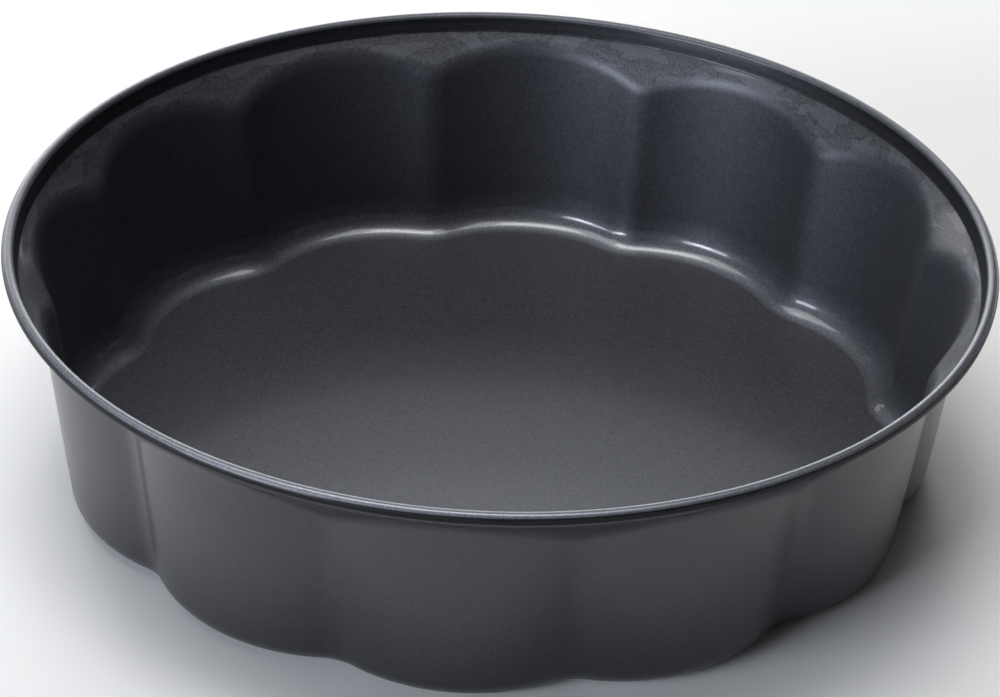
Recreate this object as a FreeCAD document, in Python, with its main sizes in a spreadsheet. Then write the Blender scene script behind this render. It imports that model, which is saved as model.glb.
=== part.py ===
import FreeCAD, Part
import math
import os
import Sketcher
from FreeCAD import Vector

# A deep round cake tin: one piece of coated steel sheet, drawn and curled.
#
# The flat floor has a scalloped outline. Twelve lobes bulge outwards round the wall, which leans
# outwards as it rises. Each lobe ends in an arch on a sloping shoulder, a short collar stands on
# the shoulder, and the edge of the sheet is rolled outwards into a hollow curl.
#
# The tin stands on the XY plane, with +Z up and the origin at the centre of its floor's underside.
# One lobe is centred on +X. Lengths are in millimetres and angles in degrees.

# How a sketch names its origin, its axes and the points of its lines and arcs
ORIGIN = (-1, 1)
HORIZONTAL_AXIS, VERTICAL_AXIS = -1, -2
START, END, CENTRE = range(1, 4)

# How near a point counts as lying on a surface
TOUCH = 0.01

doc = FreeCAD.newDocument("cake_tin")

# Driving sizes, by what they measure
driving_sizes = {
    # the whole tin and its sheet
    "rim_diameter": 280.0,
    "overall_height": 70.0,
    "sheet_thickness": 0.8,
    # the curl, and the gap between its tip and the collar
    "curl_diameter": 3.5,
    "curl_gap": 0.4,
    # the kink in the collar: in from the rim's edge and down from its top, on the underside
    "kink_inset": 3.2,
    "kink_drop": 3.3,
    # the collar's lean from upright, and the bend at its foot, with its centre below the rim's top
    "collar_lean": 10.0,
    "foot_drop": 4.9,
    "foot_bend": 1.0,
    # the shoulder's slope from upright, its width above a lobe's crown, and how deep it starts
    "shoulder_angle": 45.0,
    "crown_ledge": 2.7,
    "shoulder_depth": 14.0,
    # the lobes: radius at the floor plane and lean of the wall
    "lobe_count": 12,
    "lobe_radius": 50.5,
    "wall_draft": 6.5,
    # rounded edges, on the underside of the sheet
    "valley_round": 14.0,
    "floor_round": 8.0,
    "arch_round": 9.0,
}
sizes = doc.addObject("Spreadsheet::Sheet", "Sizes")
for row, (alias, size) in enumerate(driving_sizes.items(), start=1):
    sizes.set(f"A{row}", alias)
    sizes.set(f"B{row}", str(size))
    sizes.setAlias(f"B{row}", alias)

derived = doc.addObject("App::VarSet", "Derived")


def derive(name, formula):
    """Add a size that follows from the others, and give its full name."""
    derived.addProperty("App::PropertyFloat", name, "Derived")
    derived.setExpression(name, formula)
    return f"Derived.{name}"


def number(full_name):
    """The present value of a size, such as Sizes.rim_diameter."""
    holder, name = full_name.split(".")
    return getattr(doc.getObject(holder), name)


derive("curl_radius", "Sizes.curl_diameter / 2")
derive("curl_hollow", "Derived.curl_radius - Sizes.sheet_thickness")
derive("curl_centre_radius", "Sizes.rim_diameter / 2 - Derived.curl_radius")
derive("curl_centre_height", "Sizes.overall_height - Derived.curl_radius")
derive("kink_radius", "Sizes.rim_diameter / 2 - Sizes.kink_inset")
derive("kink_height", "Sizes.overall_height - Sizes.kink_drop")
derive("outer_bend", "Sizes.foot_bend + Sizes.sheet_thickness")
derive("foot_height", "Sizes.overall_height - Sizes.foot_drop")
derive("foot_radius", "Derived.kink_radius"
       " - (Derived.kink_height - Derived.foot_height) * tan(Sizes.collar_lean)"
       " - Derived.outer_bend / cos(Sizes.collar_lean)")
derive("collar_slope", "90 - Sizes.collar_lean")
derive("shoulder_slope", "90 - Sizes.shoulder_angle")
derive("seam_slope", "-Sizes.shoulder_angle")
# The seam where the shoulder runs into the bend at the collar's foot
derive("seam_radius", "Derived.foot_radius + Derived.outer_bend * cos(Sizes.shoulder_angle)")
derive("seam_height", "Derived.foot_height - Derived.outer_bend * sin(Sizes.shoulder_angle)")
derive("lobe_centre_radius", "Derived.seam_radius - Sizes.crown_ledge - Sizes.lobe_radius"
       " - Derived.seam_height * tan(Sizes.wall_draft)")
doc.recompute()


def origin_plane(body, role):
    """One of a body's own origin planes."""
    return next(item for item in body.Origin.OriginFeatures if item.Role == role)


def new_sketch(body, name, role, lift=None):
    """A sketch on an origin plane, raised by a named size if one is given."""
    sketch = body.newObject("Sketcher::SketchObject", name)
    sketch.AttachmentSupport = [(origin_plane(body, role), "")]
    sketch.MapMode = "FlatFace"
    if lift:
        sketch.setExpression("AttachmentOffset.Base.z", lift)
    return sketch


def dimension(sketch, full_name, kind, *place):
    """Add a dimension that a named size drives; an angle is given in degrees."""
    value = number(full_name)
    if kind == "Angle":
        value = math.radians(value)
    index = sketch.addConstraint(Sketcher.Constraint(kind, *place, value))
    sketch.setExpression(f"Constraints[{index}]", full_name)


def join(sketch, kind, *place):
    """Add a constraint without a size."""
    sketch.addConstraint(Sketcher.Constraint(kind, *place))


def line(sketch, start, end):
    """Add a straight line and give its index."""
    return sketch.addGeometry(Part.LineSegment(Vector(*start, 0), Vector(*end, 0)))


def arc(sketch, centre, radius, first_angle, last_angle):
    """Add an anticlockwise arc between two angles in degrees and give its index."""
    circle = Part.Circle(Vector(*centre, 0), Vector(0, 0, 1), radius)
    ends = math.radians(first_angle), math.radians(last_angle)
    return sketch.addGeometry(Part.ArcOfCircle(circle, *ends))


def circle_pad(body, name, centre_radius, radius, floor, height):
    """Pad a circle up from the floor; its centre lies on the X axis or at the origin."""
    sketch = new_sketch(body, f"{name}_sketch", "XY_Plane", floor)
    middle = number(centre_radius) if centre_radius else 0.0
    sketch.addGeometry(Part.Circle(Vector(middle, 0, 0), Vector(0, 0, 1), number(radius)))
    dimension(sketch, radius, "Radius", 0)
    if centre_radius:
        join(sketch, "PointOnObject", 0, CENTRE, HORIZONTAL_AXIS)
        dimension(sketch, centre_radius, "DistanceX", *ORIGIN, 0, CENTRE)
    else:
        join(sketch, "Coincident", 0, CENTRE, *ORIGIN)
    doc.recompute()
    pad = body.newObject("PartDesign::Pad", name)
    pad.Profile = sketch
    pad.setExpression("Length", height)
    doc.recompute()
    return pad


def points_on(edge):
    """Both ends and the middle of an edge."""
    first, last = edge.ParameterRange
    return [edge.valueAt(value) for value in (first, (first + last) / 2, last)]


def round_edges(body, name, base, radius, wanted):
    """Round every edge whose three points all pass a test."""
    shape = base.Shape
    chosen = [f"Edge{index}" for index, edge in enumerate(shape.Edges, start=1)
              if all(wanted(point) for point in points_on(edge))]
    rounded = body.newObject("PartDesign::Fillet", name)
    rounded.Base = (base, chosen)
    rounded.setExpression("Radius", radius)
    doc.recompute()
    return rounded


def vessel(side, inset):
    """The solid inside one face of the sheet, which lies `inset` in from the underside."""
    # Sizes of this face of the sheet
    floor = derive(f"{side}_floor", inset)
    seam_height = derive(f"{side}_seam_height",
                         f"Derived.seam_height + {floor} * sin(Sizes.shoulder_angle)")
    seam_radius = derive(f"{side}_seam_radius",
                         f"Derived.seam_radius - {floor} * cos(Sizes.shoulder_angle)")
    depth = derive(f"{side}_depth", f"{seam_height} - {floor}")
    lobe_radius = derive(f"{side}_lobe_radius",
                         f"Sizes.lobe_radius + {floor} * tan(Sizes.wall_draft)"
                         f" - {floor} / cos(Sizes.wall_draft)")
    valley_round = derive(f"{side}_valley_round", f"Sizes.valley_round + {floor}")
    floor_round = derive(f"{side}_floor_round", f"Sizes.floor_round - {floor}")
    arch_round = derive(f"{side}_arch_round", f"Sizes.arch_round + {floor}")
    doc.recompute()

    body = doc.addObject("PartDesign::Body", side)

    # A round core, and one lobe repeated round it
    centre_radius = "Derived.lobe_centre_radius"
    circle_pad(body, f"{side}_core", None, centre_radius, floor, depth)
    lobe = circle_pad(body, f"{side}_lobe", centre_radius, lobe_radius, floor, depth)
    lobe.setExpression("TaperAngle", "Sizes.wall_draft")
    lobes = body.newObject("PartDesign::PolarPattern", f"{side}_lobes")
    lobes.Originals = [lobe]
    lobes.Axis = (lobe.Profile[0], ["N_Axis"])
    lobes.setExpression("Occurrences", "Sizes.lobe_count")
    body.Tip = lobes
    doc.recompute()

    # The valleys between lobes stand half a step round from the crowns
    step = math.tau / number("Sizes.lobe_count")

    def in_valley(point):
        turn = math.atan2(point.y, point.x) / step
        return abs(turn - math.floor(turn) - 0.5) < TOUCH

    valleys = round_edges(body, f"{side}_valleys", lobes, valley_round, in_valley)

    # The sloping shoulder, closed by a roof that stands square on it at the foot of the collar
    sketch = new_sketch(body, f"{side}_shoulder_sketch", "XZ_Plane")
    slope = math.tan(math.radians(number("Sizes.shoulder_angle")))
    seam = number(seam_radius), number(seam_height)
    low = seam[1] - number("Sizes.shoulder_depth")
    low_radius = seam[0] - number("Sizes.shoulder_depth") * slope
    base = line(sketch, (0, low), (low_radius, low))
    ramp = line(sketch, (low_radius, low), seam)
    roof = line(sketch, seam, (0, seam[1] + seam[0] * slope))
    axis = line(sketch, (0, seam[1] + seam[0] * slope), (0, low))
    for first, second in ((base, ramp), (ramp, roof), (roof, axis), (axis, base)):
        join(sketch, "Coincident", first, END, second, START)
    join(sketch, "Horizontal", base)
    join(sketch, "Vertical", axis)
    join(sketch, "PointOnObject", base, START, VERTICAL_AXIS)
    join(sketch, "Perpendicular", ramp, roof)
    dimension(sketch, "Derived.shoulder_slope", "Angle", ramp)
    dimension(sketch, "Sizes.shoulder_depth", "DistanceY", ramp, START, ramp, END)
    dimension(sketch, seam_radius, "DistanceX", *ORIGIN, ramp, END)
    dimension(sketch, seam_height, "DistanceY", *ORIGIN, ramp, END)
    doc.recompute()
    shoulder = body.newObject("PartDesign::Revolution", f"{side}_shoulder")
    shoulder.Profile = sketch
    shoulder.ReferenceAxis = (sketch, ["V_Axis"])
    doc.recompute()

    # Soft corners: round the floor, then where lobes and valleys run into the shoulder
    def on_floor(point):
        return abs(point.z - number(floor)) < TOUCH

    def on_arch(point):
        ramp_radius = seam[0] - (seam[1] - point.z) * slope
        on_ramp = abs(math.hypot(point.x, point.y) - ramp_radius) < TOUCH
        return on_ramp and low < point.z < seam[1] - TOUCH

    floored = round_edges(body, f"{side}_floor_edge", shoulder, floor_round, on_floor)
    round_edges(body, f"{side}_arches", floored, arch_round, on_arch)
    return body


def curled_rim():
    """The bend, collar, flare and curl, as one section of sheet turned about the axis."""
    body = doc.addObject("PartDesign::Body", "rim")
    sketch = new_sketch(body, "rim_section", "XZ_Plane")
    thickness = number("Sizes.sheet_thickness")
    foot = number("Derived.foot_radius"), number("Derived.foot_height")
    kink = number("Derived.kink_radius"), number("Derived.kink_height")
    curl = number("Derived.curl_centre_radius"), number("Derived.curl_centre_height")
    curl_radius, hollow = number("Derived.curl_radius"), number("Derived.curl_hollow")
    bends = number("Sizes.foot_bend"), number("Derived.outer_bend")
    lean = number("Sizes.collar_lean")

    # The flare runs from the kink and just touches the hollow of the curl
    reach = math.dist(kink, curl)
    flare_slope = math.atan2(curl[1] - kink[1], curl[0] - kink[0]) + math.asin(hollow / reach)
    meet = math.degrees(flare_slope) + 90
    gap_turn = math.acos((hollow - number("Sizes.curl_gap")) / curl_radius)
    tip = meet - math.degrees(math.tau - gap_turn)

    def polar(centre, radius, angle):
        turn = math.radians(angle)
        return centre[0] + radius * math.cos(turn), centre[1] + radius * math.sin(turn)

    shoulder = -number("Sizes.shoulder_angle")
    seam = line(sketch, polar(foot, bends[0], shoulder), polar(foot, bends[1], shoulder))
    under_bend = arc(sketch, foot, bends[1], shoulder, -lean)
    under_collar = line(sketch, polar(foot, bends[1], -lean), kink)
    under_flare = line(sketch, kink, polar(curl, hollow, meet))
    curl_inside = arc(sketch, curl, hollow, tip, meet)
    curl_end = line(sketch, polar(curl, hollow, tip), polar(curl, curl_radius, tip))
    curl_outside = arc(sketch, curl, curl_radius, tip, meet)
    inner_kink = polar(kink, thickness, (meet + 180 - lean) / 2)
    inner_flare = line(sketch, polar(curl, curl_radius, meet), inner_kink)
    inner_collar = line(sketch, inner_kink, polar(foot, bends[0], -lean))
    inner_bend = arc(sketch, foot, bends[0], shoulder, -lean)

    for first, first_end, second, second_end in (
        (seam, END, under_bend, START),
        (under_collar, END, under_flare, START),
        (curl_inside, START, curl_end, START),
        (curl_end, END, curl_outside, START),
        (inner_flare, END, inner_collar, START),
        (inner_bend, START, seam, START),
        (curl_inside, CENTRE, curl_outside, CENTRE),
        (under_bend, CENTRE, inner_bend, CENTRE),
    ):
        join(sketch, "Coincident", first, first_end, second, second_end)
    for first, first_end, second, second_end in (
        (under_bend, END, under_collar, START),
        (under_flare, END, curl_inside, END),
        (curl_outside, END, inner_flare, START),
        (inner_collar, END, inner_bend, END),
    ):
        join(sketch, "Tangent", first, first_end, second, second_end)
    join(sketch, "PointOnObject", under_bend, CENTRE, seam)
    join(sketch, "PointOnObject", curl_inside, CENTRE, curl_end)
    join(sketch, "Parallel", under_collar, inner_collar)
    join(sketch, "Parallel", under_flare, inner_flare)

    dimension(sketch, "Sizes.foot_bend", "Radius", inner_bend)
    dimension(sketch, "Derived.outer_bend", "Radius", under_bend)
    dimension(sketch, "Derived.curl_hollow", "Radius", curl_inside)
    dimension(sketch, "Derived.curl_radius", "Radius", curl_outside)
    dimension(sketch, "Derived.foot_height", "DistanceY", *ORIGIN, under_bend, CENTRE)
    dimension(sketch, "Derived.kink_radius", "DistanceX", *ORIGIN, under_collar, END)
    dimension(sketch, "Derived.kink_height", "DistanceY", *ORIGIN, under_collar, END)
    dimension(sketch, "Derived.curl_centre_radius", "DistanceX", *ORIGIN, curl_inside, CENTRE)
    dimension(sketch, "Derived.curl_centre_height", "DistanceY", *ORIGIN, curl_inside, CENTRE)
    dimension(sketch, "Derived.collar_slope", "Angle", under_collar)
    dimension(sketch, "Derived.seam_slope", "Angle", seam)
    dimension(sketch, "Sizes.curl_gap", "Distance", curl_end, END, under_flare)
    doc.recompute()

    ring = body.newObject("PartDesign::Revolution", "rim_ring")
    ring.Profile = sketch
    ring.ReferenceAxis = (sketch, ["V_Axis"])
    doc.recompute()
    return body


outside = vessel("outside", "0")
inside = vessel("inside", "Sizes.sheet_thickness")
rim = curled_rim()

# The drawn sheet is what lies between the two faces, and the rim continues it
shell = doc.addObject("Part::Cut", "shell")
shell.Base = outside
shell.Tool = inside
tin = doc.addObject("Part::Fuse", "cake_tin")
tin.Base = shell
tin.Tool = rim
tin.Refine = True
tin.Label = "cake_tin"
doc.recompute()

for item in doc.Objects:
    if "Invalid" in item.State or "Error" in item.State:
        raise RuntimeError(f"{item.Name} failed")
shape = tin.Shape
if shape.isNull() or not shape.isValid() or len(shape.Solids) != 1:
    raise RuntimeError("the tin is not one sound solid")
os.makedirs("parts", exist_ok=True)
shape.exportStep(f"parts/{tin.Label}.step")
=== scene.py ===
import math

import bmesh
import bpy
from mathutils import Matrix, Vector


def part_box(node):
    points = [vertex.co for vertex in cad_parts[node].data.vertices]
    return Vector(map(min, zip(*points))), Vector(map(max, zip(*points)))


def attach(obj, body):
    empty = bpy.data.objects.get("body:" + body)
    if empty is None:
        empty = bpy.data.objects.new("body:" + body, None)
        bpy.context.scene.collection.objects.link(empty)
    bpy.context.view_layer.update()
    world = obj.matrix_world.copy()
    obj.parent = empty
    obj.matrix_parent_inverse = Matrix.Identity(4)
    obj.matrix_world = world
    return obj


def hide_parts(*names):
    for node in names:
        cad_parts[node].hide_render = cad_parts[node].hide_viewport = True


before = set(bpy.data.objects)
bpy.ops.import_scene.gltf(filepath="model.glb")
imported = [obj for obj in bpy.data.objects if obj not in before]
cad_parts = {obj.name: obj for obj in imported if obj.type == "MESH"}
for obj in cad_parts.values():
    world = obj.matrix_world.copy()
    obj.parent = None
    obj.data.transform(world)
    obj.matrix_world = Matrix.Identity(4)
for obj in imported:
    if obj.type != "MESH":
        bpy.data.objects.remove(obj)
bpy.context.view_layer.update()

# The tin
# One disc of sheet steel, drawn into a lobed bowl with a sloping shoulder and a short collar. Its edge
# is rolled outwards over itself into a hollow curl. Lengths are in metres and angles in degrees.
MM = 0.001
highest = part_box("cake_tin")[1]
RIM_RADIUS = highest.x
HEIGHT = highest.z
SHEET = 0.8 * MM

# The curl, and the gap between its tip and the collar
CURL_RADIUS = 1.75 * MM
CURL_GAP = 0.4 * MM
# The kink in the collar: in from the rim's edge and down from its top
KINK_INSET = 3.2 * MM
KINK_DROP = 3.3 * MM
# The collar's lean from upright, and the bend at its foot, with its centre below the rim's top
COLLAR_LEAN = 10
FOOT_DROP = 4.9 * MM
FOOT_BEND = 1.0 * MM
# The shoulder's slope, and its width above the middle of a lobe
SHOULDER_ANGLE = 45
CROWN_LEDGE = 2.7 * MM

# The lobes, the lean of their wall, and the rounded edges on the underside of the sheet
LOBES = 12
LOBE_RADIUS = 50.5 * MM
WALL_DRAFT = 6.5
VALLEY_ROUND = 14 * MM
FLOOR_ROUND = 8 * MM
ARCH_ROUND = 9 * MM

# Slices of the tin, and the steps along each stretch of its section
SLICES_PER_LOBE = 48
SLICES = LOBES * SLICES_PER_LOBE
FLOOR_STEPS, FLOOR_ROUND_STEPS, WALL_STEPS, ARCH_STEPS, SHOULDER_STEPS = 5, 14, 9, 8, 3
BEND_STEPS, COLLAR_STEPS, FLARE_STEPS, CURL_STEPS, HOLLOW_STEPS = 4, 2, 2, 30, 14

# Tries in which the meeting of wall and shoulder is closed in on, and how far below it the wall's lean
# is taken
MEETING_TRIES = 20
LEAN_SPAN = 0.5 * MM
# How near two points of the mesh count as one
SAME_POINT = 0.001 * MM


def sine(angle):
    return math.sin(math.radians(angle))


def cosine(angle):
    return math.cos(math.radians(angle))


def slope(angle):
    """How far a line that leans by an angle moves outwards for each step up."""
    return math.tan(math.radians(angle))


def polar(centre, radius, angle):
    return centre[0] + radius * cosine(angle), centre[1] + radius * sine(angle)


def spread(first, last, steps):
    """Even steps from one number to another, without the first."""
    return [first + (last - first) * step / steps for step in range(1, steps + 1)]


def line(first, last, steps):
    return list(zip(spread(first[0], last[0], steps), spread(first[1], last[1], steps)))


def arc(centre, radius, first_angle, last_angle, steps):
    return [polar(centre, radius, angle) for angle in spread(first_angle, last_angle, steps)]


# Points of the section, as distance from the axis and height: the curl's centre, the kink, the centre
# of the bend at the collar's foot, and the seam where that bend meets the shoulder
curl = RIM_RADIUS - CURL_RADIUS, HEIGHT - CURL_RADIUS
kink = RIM_RADIUS - KINK_INSET, HEIGHT - KINK_DROP
outer_bend = FOOT_BEND + SHEET
foot_height = HEIGHT - FOOT_DROP
foot_reach = kink[0] - (kink[1] - foot_height) * slope(COLLAR_LEAN) - outer_bend / cosine(COLLAR_LEAN)
foot = foot_reach, foot_height
seam = polar(foot, outer_bend, -SHOULDER_ANGLE)
lobe_centre = seam[0] - CROWN_LEDGE - LOBE_RADIUS - seam[1] * slope(WALL_DRAFT)
half_lobe = 180 / LOBES


def lobed_outline(azimuth, lobe_radius, valley_round):
    """How far the lobed outline of the wall lies from the axis, in one direction."""
    turn = abs((azimuth + half_lobe) % (2 * half_lobe) - half_lobe)
    reach = lobe_radius + valley_round
    offside = lobe_centre * sine(half_lobe)
    valley_centre = lobe_centre * cosine(half_lobe) + math.sqrt(reach ** 2 - offside ** 2)
    share = lobe_radius / reach
    touch_x = lobe_centre + (valley_centre * cosine(half_lobe) - lobe_centre) * share
    touch_y = valley_centre * sine(half_lobe) * share
    if turn < math.degrees(math.atan2(touch_y, touch_x)):
        across = lobe_centre * sine(turn)
        return lobe_centre * cosine(turn) + math.sqrt(lobe_radius ** 2 - across ** 2)
    rest = half_lobe - turn
    across = valley_centre * sine(rest)
    return valley_centre * cosine(rest) - math.sqrt(valley_round ** 2 - across ** 2)


def drawn_face(azimuth, inset):
    """One face of the drawn sheet in one direction, from the middle of the floor up to the seam.

    The face lies inside the sheet's underside by the inset.
    """
    valley_round = VALLEY_ROUND + inset
    floor_round = FLOOR_ROUND - inset
    arch_round = ARCH_ROUND + inset
    face_seam = seam[0] - inset * cosine(SHOULDER_ANGLE), seam[1] + inset * sine(SHOULDER_ANGLE)

    def lobe_radius(height):
        return LOBE_RADIUS + height * slope(WALL_DRAFT) - inset / cosine(WALL_DRAFT)

    def wall(height):
        return lobed_outline(azimuth, lobe_radius(height), valley_round)

    # The rounded floor edge is drawn in from the wall by the same amount all round
    round_height = inset + floor_round
    round_centre = lobe_radius(round_height) - floor_round / cosine(WALL_DRAFT)
    rounded = []
    for angle in [-90] + spread(-90, -WALL_DRAFT, FLOOR_ROUND_STEPS):
        reach, height = polar((round_centre, round_height), floor_round, angle)
        pulled_in = lobe_radius(height) - reach
        rounded.append((lobed_outline(azimuth, reach, valley_round + pulled_in), height))

    # The height where wall and shoulder would meet in a sharp edge
    meet = face_seam[1]
    for _ in range(MEETING_TRIES):
        meet = face_seam[1] - (face_seam[0] - wall(meet)) / slope(SHOULDER_ANGLE)
    lean = math.degrees(math.atan((wall(meet) - wall(meet - LEAN_SPAN)) / LEAN_SPAN))
    tangent = arch_round * slope((SHOULDER_ANGLE - lean) / 2)
    arch_foot = meet - tangent * cosine(lean)
    arch_start = wall(arch_foot), arch_foot
    arch_centre = polar(arch_start, arch_round, -lean)
    up_wall = [(wall(height), height) for height in spread(rounded[-1][1], arch_foot, WALL_STEPS)]
    arch = arc(arch_centre, arch_round, 180 - lean, 180 - SHOULDER_ANGLE, ARCH_STEPS)
    return ([(0, inset)] + line((0, inset), rounded[0], FLOOR_STEPS) + rounded[1:] + up_wall + arch
            + line(arch[-1], face_seam, SHOULDER_STEPS))


def rolled_rim():
    """The section of collar and curl, from the seam on the inner face round to the seam on the outer."""
    hollow = CURL_RADIUS - SHEET
    reach = math.dist(kink, curl)
    flare = math.degrees(math.atan2(curl[1] - kink[1], curl[0] - kink[0]) + math.asin(hollow / reach))
    start = flare + 90
    tip = start + math.degrees(math.acos((hollow - CURL_GAP) / CURL_RADIUS)) - 360
    inner_kink = polar(kink, SHEET, (start + 180 - COLLAR_LEAN) / 2)
    return (arc(foot, FOOT_BEND, -SHOULDER_ANGLE, -COLLAR_LEAN, BEND_STEPS)
            + line(polar(foot, FOOT_BEND, -COLLAR_LEAN), inner_kink, COLLAR_STEPS)
            + line(inner_kink, polar(curl, CURL_RADIUS, start), FLARE_STEPS)
            + arc(curl, CURL_RADIUS, start, tip, CURL_STEPS)
            + [polar(curl, hollow, tip)]
            + arc(curl, hollow, tip, start, HOLLOW_STEPS)
            + line(polar(curl, hollow, start), kink, FLARE_STEPS)
            + line(kink, polar(foot, outer_bend, -COLLAR_LEAN), COLLAR_STEPS)
            + arc(foot, outer_bend, -COLLAR_LEAN, -SHOULDER_ANGLE, BEND_STEPS))


rim_section = rolled_rim()

# How strongly the coating shines and how bright its flakes are, on each stretch of the section.
# The flakes' brightness also holds painted light: painted highlights on the floor's rounded corner and
# on the curl's shoulder, and painted shade on the collar, the flare and under the curl.
FLOOR = 0.09, 0.093
# Painted highlight: the flakes on the floor's rounded corner are made brighter, to widen the bright line
# along it
CORNER_PAINTED_HIGHLIGHT = 0.62, 0.125
WALL = 0.0, 0.093
ARCH = 0.03, 0.094
FLAT = 0.30, 0.074
# Painted shade: the flakes on the collar and the flare are made darker than elsewhere
COLLAR_PAINTED_SHADE = 0.07, 0.038
FLARE_PAINTED_SHADE = 0.05, 0.024
CURL_TOP = 0.12, 0.105
# Painted highlight: the flakes on the curl's shoulder are made more than twice as bright as elsewhere
CURL_SHOULDER_PAINTED_HIGHLIGHT = 0.42, 0.215
# Painted shade: the flakes on the curl's underside are made far darker than anywhere else
UNDER_CURL_PAINTED_SHADE = 0.03, 0.012
OUTSIDE = 0.55, 0.034
# Where the curl's shoulder lies round it, up from level
SHOULDER_FROM, SHOULDER_TO = 32, 76

drawn_finishes = ([FLOOR] * (FLOOR_STEPS + 1) + [CORNER_PAINTED_HIGHLIGHT] * FLOOR_ROUND_STEPS + [WALL] * WALL_STEPS
                  + [ARCH] * ARCH_STEPS + [FLAT] * SHOULDER_STEPS)
collar_stations = BEND_STEPS + COLLAR_STEPS + FLARE_STEPS
rim_finishes = [COLLAR_PAINTED_SHADE] * (BEND_STEPS + COLLAR_STEPS) + [FLARE_PAINTED_SHADE] * FLARE_STEPS
for reach, height in rim_section[collar_stations:-collar_stations]:
    facing = math.degrees(math.atan2(height - curl[1], reach - curl[0]))
    if facing < SHOULDER_FROM:
        rim_finishes.append(UNDER_CURL_PAINTED_SHADE)
    elif facing < SHOULDER_TO:
        rim_finishes.append(CURL_SHOULDER_PAINTED_HIGHLIGHT)
    else:
        rim_finishes.append(CURL_TOP)
rim_finishes += [OUTSIDE] * collar_stations
finishes = drawn_finishes + rim_finishes + [OUTSIDE] * len(drawn_finishes)


def sheet_section(azimuth):
    """The whole section of the sheet in one direction, from the floor's inner face to its underside."""
    return drawn_face(azimuth, SHEET) + rim_section + drawn_face(azimuth, 0)[-2::-1]


# A round tin is spun from the section in the middle of a lobe, and each slice of it is then pressed to
# its own section
tin_form = bmesh.new()
station = tin_form.verts.layers.int.new("station")
gloss = tin_form.verts.layers.float.new("gloss")
flakes_and_painted_light = tin_form.verts.layers.float.new("flakes_and_painted_light")
crown_section = []
for number, (reach, height) in enumerate(sheet_section(0)):
    vertex = tin_form.verts.new((reach, 0, height))
    vertex[station] = number
    crown_section.append(vertex)
for first, second in zip(crown_section, crown_section[1:]):
    tin_form.edges.new((first, second))
bmesh.ops.spin(tin_form, geom=tin_form.verts[:] + tin_form.edges[:], cent=(0, 0, 0), axis=(0, 0, 1),
               dvec=(0, 0, 0), angle=math.tau, steps=SLICES, use_merge=True, use_normal_flip=False,
               use_duplicate=False)
bmesh.ops.remove_doubles(tin_form, verts=tin_form.verts[:], dist=SAME_POINT)

slices = {}
for vertex in tin_form.verts:
    azimuth = math.atan2(vertex.co.y, vertex.co.x)
    slice_number = round(azimuth / math.tau * SLICES) % SLICES_PER_LOBE
    if slice_number not in slices:
        slices[slice_number] = sheet_section(slice_number / SLICES_PER_LOBE * 2 * half_lobe)
    reach, height = slices[slice_number][vertex[station]]
    vertex[gloss], vertex[flakes_and_painted_light] = finishes[vertex[station]]
    vertex.co = reach * math.cos(azimuth), reach * math.sin(azimuth), height
bmesh.ops.recalc_face_normals(tin_form, faces=tin_form.faces[:])
for face in tin_form.faces:
    face.smooth = True

tin_mesh = bpy.data.meshes.new("tin")
tin_form.to_mesh(tin_mesh)
tin_form.free()
tin = bpy.data.objects.new("tin", tin_mesh)
bpy.context.scene.collection.objects.link(tin)
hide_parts("cake_tin")
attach(tin, "root")


# The coating
# A dark grey release coating, sprayed on inside and out and baked. Fine metal flakes lie in a tinted
# binder under a thin glossy skin. On the flats of the shoulder it drew back into puddles before it set.
TINT = 0.95, 1.0, 1.16
FLAKE_SHARE = 0.78
BINDER_SHEEN = 0.38
SKIN_IOR = 1.8
SKIN_ROUGHNESS = 0.12

# How closely each lies, in counts along a metre
FLAKES_PER_METRE = 2300
GRAINS_PER_METRE = 1900
SPECKS_PER_METRE = 45
PUDDLES_PER_METRE = 70
CLOUDS_PER_METRE = 18
PEEL_PER_METRE, DRY_PEEL_PER_METRE = 800, 1500

# How far off the flats' cone their puddles and dry grain fade out
FLAT_FROM, FLAT_TO = 0.15 * MM, 0.7 * MM
# Puddles are drawn out along the ring and gather towards the seam, by so much for each metre up
PUDDLE_STRETCH = 3.2
PUDDLE_GATHER = 22
PUDDLE_FROM, PUDDLE_TO = 0.47, 0.485
PUDDLE_EDGE, PUDDLE_EDGE_WIDTH = 0.468, 0.02
# Specks of dust lie in some of their cells only
SPECK_FROM, SPECK_TO = 0.004, 0.011
SPECKED_FROM, SPECKED_TO = 0.7, 0.72

# How each changes the brightness of the flakes
PLAIN_SHADE, GLINT_SHADE, CLOUD_SHADE = 0.75, 0.38, 0.12
GRAIN_SHADE, DRY_GRAIN_SHADE = 0.6, 0.8
PUDDLE_SHADE, PUDDLE_EDGE_SHADE = 0.3, 0.22
# How each changes the roughness, the height of the surface and the gloss
SATIN, CLOUD_ROUGHNESS, GLINT_ROUGHNESS = 0.45, 0.06, 0.05
PEEL_RISE, DRY_RISE, PUDDLE_RISE = 0.7, 2.0, 0.6
BUMP_STRENGTH, BUMP_HEIGHT = 0.35, 0.02 * MM
PUDDLE_GLOSS = 0.12


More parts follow.
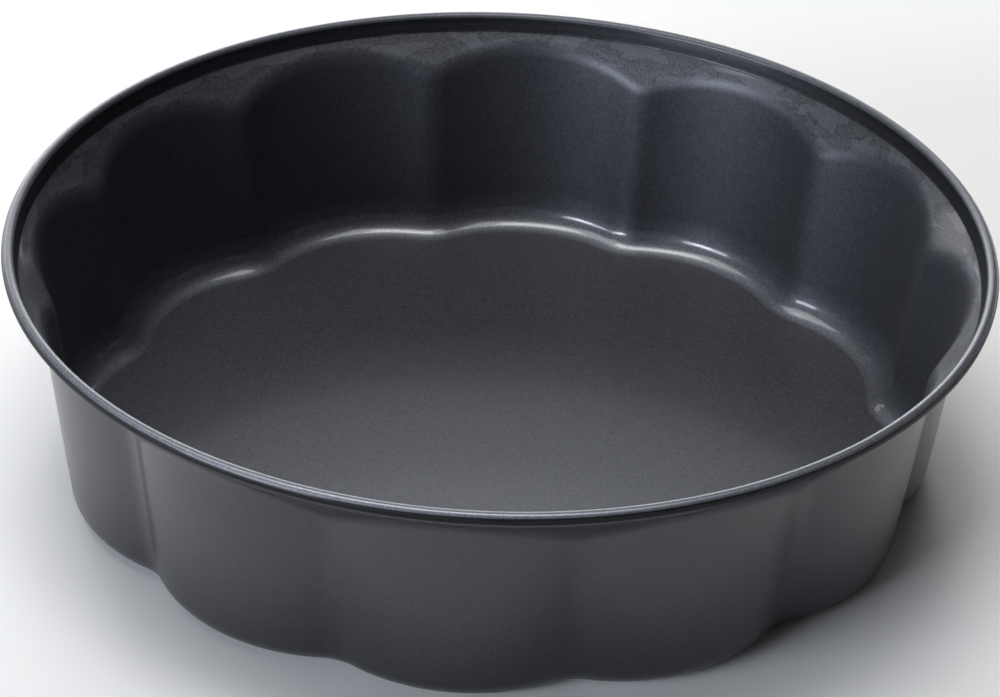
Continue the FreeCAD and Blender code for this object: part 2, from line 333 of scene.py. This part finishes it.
class Value:
    """An output of a material's node, with arithmetic that adds Math nodes."""

    def __init__(self, socket):
        self.socket = socket

    @classmethod
    def node(cls, tree, kind, settings, sockets, output=0):
        """Add a node: its settings are set first, then its sockets get values or links."""
        made = tree.nodes.new(kind)
        for name, setting in settings.items():
            setattr(made, name, setting)
        for name, value in sockets.items():
            if isinstance(value, cls):
                tree.links.new(value.socket, made.inputs[name])
            else:
                made.inputs[name].default_value = value
        return cls(made.outputs[output])

    def math(self, operation, *values):
        return self.node(self.socket.id_data, "ShaderNodeMath", {"operation": operation},
                         dict(enumerate(values)))

    def rise(self, first, last):
        """0 up to one value and 1 from another, with a soft step between them."""
        return self.node(self.socket.id_data, "ShaderNodeMapRange",
                         {"interpolation_type": "SMOOTHSTEP"},
                         {"Value": self, "From Min": first, "From Max": last})

    def __add__(self, other):
        return self.math("ADD", self, other)

    def __sub__(self, other):
        return self.math("SUBTRACT", self, other)

    def __rsub__(self, other):
        return self.math("SUBTRACT", other, self)

    def __mul__(self, other):
        return self.math("MULTIPLY", self, other)

    def __pow__(self, other):
        return self.math("POWER", self, other)

    def __abs__(self):
        return self.math("ABSOLUTE", self)

    __radd__ = __add__
    __rmul__ = __mul__


coating = bpy.data.materials.new("release_coating")
coating.use_nodes = True
tree = coating.node_tree
place = Value.node(tree, "ShaderNodeTexCoord", {}, {}, "Object")
across, along, up = (Value.node(tree, "ShaderNodeSeparateXYZ", {}, {0: place}, axis) for axis in "XYZ")
from_axis = (across ** 2 + along ** 2) ** 0.5


def noise(scale, detail=2, distortion=0, where=place):
    return Value.node(tree, "ShaderNodeTexNoise", {},
                      {"Vector": where, "Scale": scale, "Detail": detail, "Distortion": distortion})


def cells(scale, output):
    """Scattered cells: the distance to the nearest centre, or a colour for each cell."""
    return Value.node(tree, "ShaderNodeTexVoronoi", {}, {"Vector": place, "Scale": scale}, output)


def red(colour):
    return Value.node(tree, "ShaderNodeSeparateColor", {}, {0: colour}, 0)


def attribute(name):
    return Value.node(tree, "ShaderNodeAttribute", {"attribute_name": name}, {}, "Fac")


# On the flats of the shoulder the sheet's inner face keeps one distance from a 45 degree cone
cone_offset = seam[0] - seam[1] - SHEET * (sine(SHOULDER_ANGLE) + cosine(SHOULDER_ANGLE))
on_flat = 1 - abs(from_axis - up - cone_offset).rise(FLAT_FROM, FLAT_TO)
round_the_ring = across.math("ARCTAN2", across, along) * RIM_RADIUS
ring_place = Value.node(tree, "ShaderNodeCombineXYZ", {}, {0: round_the_ring, 1: up * PUDDLE_STRETCH})
puddle_field = noise(PUDDLES_PER_METRE, 1.5, 0.4, ring_place) + (up - seam[1]) * PUDDLE_GATHER
puddle = puddle_field.rise(PUDDLE_FROM, PUDDLE_TO) * on_flat
puddle_edge = (1 - abs(puddle_field - PUDDLE_EDGE).rise(0.0, PUDDLE_EDGE_WIDTH)) * on_flat
dry = (1 - puddle) * on_flat

glint = red(cells(FLAKES_PER_METRE, "Color"))
cloud = noise(CLOUDS_PER_METRE, 3)
grain = (noise(GRAINS_PER_METRE, 1) - 0.5) * (GRAIN_SHADE + dry * DRY_GRAIN_SHADE)
specked = red(cells(SPECKS_PER_METRE, "Color")).rise(SPECKED_FROM, SPECKED_TO)
dust = (1 - cells(SPECKS_PER_METRE, "Distance").rise(SPECK_FROM, SPECK_TO)) * specked
# The flakes' brightness for each stretch, with its painted highlights and painted shade, varied by
# glint, clouds, grain, puddles and dust
shade = attribute("flakes_and_painted_light") * (PLAIN_SHADE + glint * GLINT_SHADE + cloud * CLOUD_SHADE + grain
                               - puddle_edge * PUDDLE_EDGE_SHADE + puddle * PUDDLE_SHADE + dust)
tint = Value.node(tree, "ShaderNodeVectorMath", {"operation": "SCALE"}, {0: TINT, "Scale": shade})
roughness = SATIN + cloud * CLOUD_ROUGHNESS + glint * GLINT_ROUGHNESS
peel = noise(PEEL_PER_METRE, 2) * PEEL_RISE + dry * noise(DRY_PEEL_PER_METRE, 1) * DRY_RISE
bump = Value.node(tree, "ShaderNodeBump", {}, {"Strength": BUMP_STRENGTH, "Distance": BUMP_HEIGHT,
                                               "Height": peel + puddle * PUDDLE_RISE})
skin_weight = attribute("gloss") + puddle * PUDDLE_GLOSS

skin = tree.nodes["Principled BSDF"]
skin.inputs["Metallic"].default_value = FLAKE_SHARE
skin.inputs["Specular IOR Level"].default_value = BINDER_SHEEN
skin.inputs["Coat Roughness"].default_value = SKIN_ROUGHNESS
skin.inputs["Coat IOR"].default_value = SKIN_IOR
tree.links.new(tint.socket, skin.inputs["Base Color"])
tree.links.new(roughness.socket, skin.inputs["Roughness"])
tree.links.new(skin_weight.socket, skin.inputs["Coat Weight"])
tree.links.new(bump.socket, skin.inputs["Normal"])
tin.data.materials.append(coating)

# The floor under the tin
# A plain sheet of matt white paper, far wider than the picture. It lies flat at height zero, where the
# tin stands.
PAPER_WIDTH = 12
PAPER_COLOUR = 0.92, 0.92, 0.92, 1
PAPER_ROUGHNESS = 0.9
paper_form = bmesh.new()
bmesh.ops.create_grid(paper_form, x_segments=1, y_segments=1, size=PAPER_WIDTH / 2)
paper_mesh = bpy.data.meshes.new("floor")
paper_form.to_mesh(paper_mesh)
paper_form.free()
floor = bpy.data.objects.new("floor", paper_mesh)
bpy.context.scene.collection.objects.link(floor)
paper = bpy.data.materials.new("paper")
paper.use_nodes = True
paper.node_tree.nodes["Principled BSDF"].inputs["Base Color"].default_value = PAPER_COLOUR
paper.node_tree.nodes["Principled BSDF"].inputs["Roughness"].default_value = PAPER_ROUGHNESS
floor.data.materials.append(paper)

# The light
# Even soft lights, as in a photographer's studio. A broad one hangs over the tin with a fainter one
# round it, windows and a pale backdrop stand behind, and a cool one shines from the front left.
WARM = 1, 0.99, 0.96
COOL = 0.93, 0.98, 1.09
COOL_FRONT = 0.93, 0.985, 1.09
ROOM_STRENGTH = 0.04


def card(name, azimuth, elevation, distance, width, height, radiance, colour=(1, 1, 1), turn=0):
    """An even light that faces the tin. Seen from it, its azimuth runs from the back to the right."""
    light = bpy.data.lights.new(name, "AREA")
    light.shape = "RECTANGLE"
    light.size = width
    light.size_y = height
    light.energy = radiance * math.pi * width * height
    light.color = colour
    holder = bpy.data.objects.new(name, light)
    holder.matrix_world = (Matrix.Rotation(math.radians(-azimuth), 4, "Z")
                           @ Matrix.Rotation(math.radians(elevation - 90), 4, "X")
                           @ Matrix.Rotation(math.radians(turn), 4, "Z")
                           @ Matrix.Translation((0, 0, distance)))
    holder.visible_camera = False
    bpy.context.scene.collection.objects.link(holder)


card("overhead", azimuth=-66, elevation=82.5, distance=1.6, width=0.78, height=0.42, radiance=4.8,
     colour=WARM, turn=-66)
card("halo", azimuth=-64, elevation=80, distance=1.7, width=1.77, height=0.98, radiance=2.6, turn=-64)
card("window", azimuth=-5, elevation=14, distance=2.2, width=0.75, height=0.84, radiance=6.8)
card("window_left", azimuth=-24, elevation=18, distance=2.2, width=0.62, height=0.7, radiance=6)
card("high_back", azimuth=-9, elevation=27, distance=2.2, width=1.8, height=0.31, radiance=3.3)
card("top_back", azimuth=-9, elevation=36, distance=2.2, width=1.8, height=0.4, radiance=1.7)
card("side_window", azimuth=-41, elevation=22, distance=2.2, width=0.5, height=0.7, radiance=2.1)
card("backdrop", azimuth=-3, elevation=3, distance=2.4, width=5.2, height=0.24, radiance=2.4,
     colour=COOL)
card("front_left", azimuth=226, elevation=16, distance=2.2, width=1.25, height=0.94, radiance=7.6,
     colour=COOL_FRONT)
card("front_left_core", azimuth=223, elevation=20, distance=2.1, width=0.5, height=0.35, radiance=8,
     colour=COOL_FRONT)

room = bpy.data.worlds.new("room")
room.use_nodes = True
room.node_tree.nodes["Background"].inputs["Color"].default_value = (1, 1, 1, 1)
room.node_tree.nodes["Background"].inputs["Strength"].default_value = ROOM_STRENGTH
bpy.context.scene.world = room
bpy.context.scene.view_settings.view_transform = "Standard"

# The camera
# It stands in front of the tin and looks down into it, a little to the right of its middle. Its place
# and aim were fitted to the photograph.
CAMERA_REACH, CAMERA_HEIGHT, CAMERA_AZIMUTH = 800.4 * MM, 534.7 * MM, 4.294
CAMERA_TURN, CAMERA_PITCH, CAMERA_ROLL = 4.237, 32.193, 2.149
view = bpy.data.cameras.new("camera")
view.sensor_width = 36
view.lens = 117.9
camera = bpy.data.objects.new("camera", view)
standpoint = Vector((CAMERA_REACH * sine(CAMERA_AZIMUTH), -CAMERA_REACH * cosine(CAMERA_AZIMUTH),
                     CAMERA_HEIGHT))
camera.matrix_world = (Matrix.Translation(standpoint)
                       @ Matrix.Rotation(math.radians(CAMERA_TURN), 4, "Z")
                       @ Matrix.Rotation(math.radians(90 - CAMERA_PITCH), 4, "X")
                       @ Matrix.Rotation(math.radians(CAMERA_ROLL), 4, "Z"))
bpy.context.scene.collection.objects.link(camera)
bpy.context.scene.camera = camera
